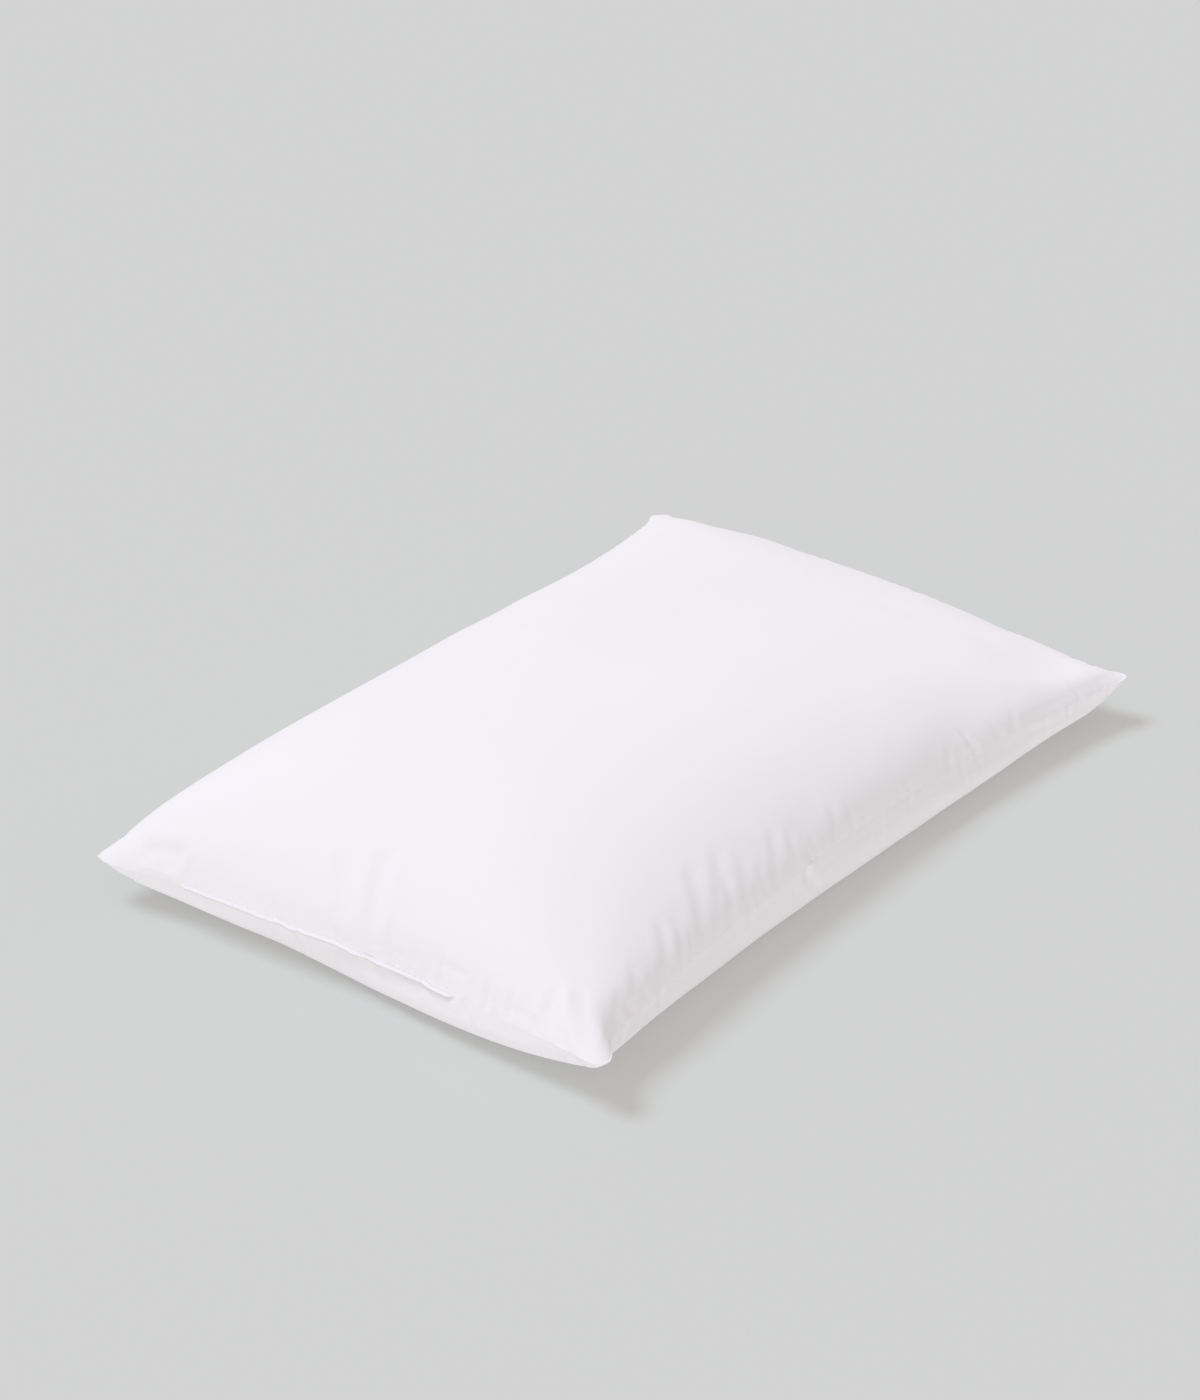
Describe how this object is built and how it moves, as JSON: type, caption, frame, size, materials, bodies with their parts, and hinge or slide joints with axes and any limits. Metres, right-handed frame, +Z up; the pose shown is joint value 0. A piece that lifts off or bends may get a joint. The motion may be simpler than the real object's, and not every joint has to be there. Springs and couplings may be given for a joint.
{
  "type": "bed pillow",
  "caption": "Plain white bed pillow: a knife-edged cotton casing of two panels round a soft filling, with an edge-stitched closing at one short end.",
  "frame": {"origin": "centre of the bounding box, on the surface the pillow rests on", "axes": "+X along the pillow's length, +Y across its width, +Z up through its thickness; the filling opening is at the -X end"},
  "size_m": [0.724, 0.484, 0.1281],
  "materials": {
    "casing_cotton": "matte",
    "filling": "matte",
    "sewing_thread": "satin",
    "label_tape": "satin"
  },
  "bodies": {
    "root": {"top_panel": "casing_cotton", "bottom_panel": "casing_cotton", "fill": "filling", "seam_stitching": "sewing_thread", "overlock_thread": "sewing_thread", "closing_stitching": "sewing_thread", "care_label": "label_tape"}
  },
  "joints": []
}
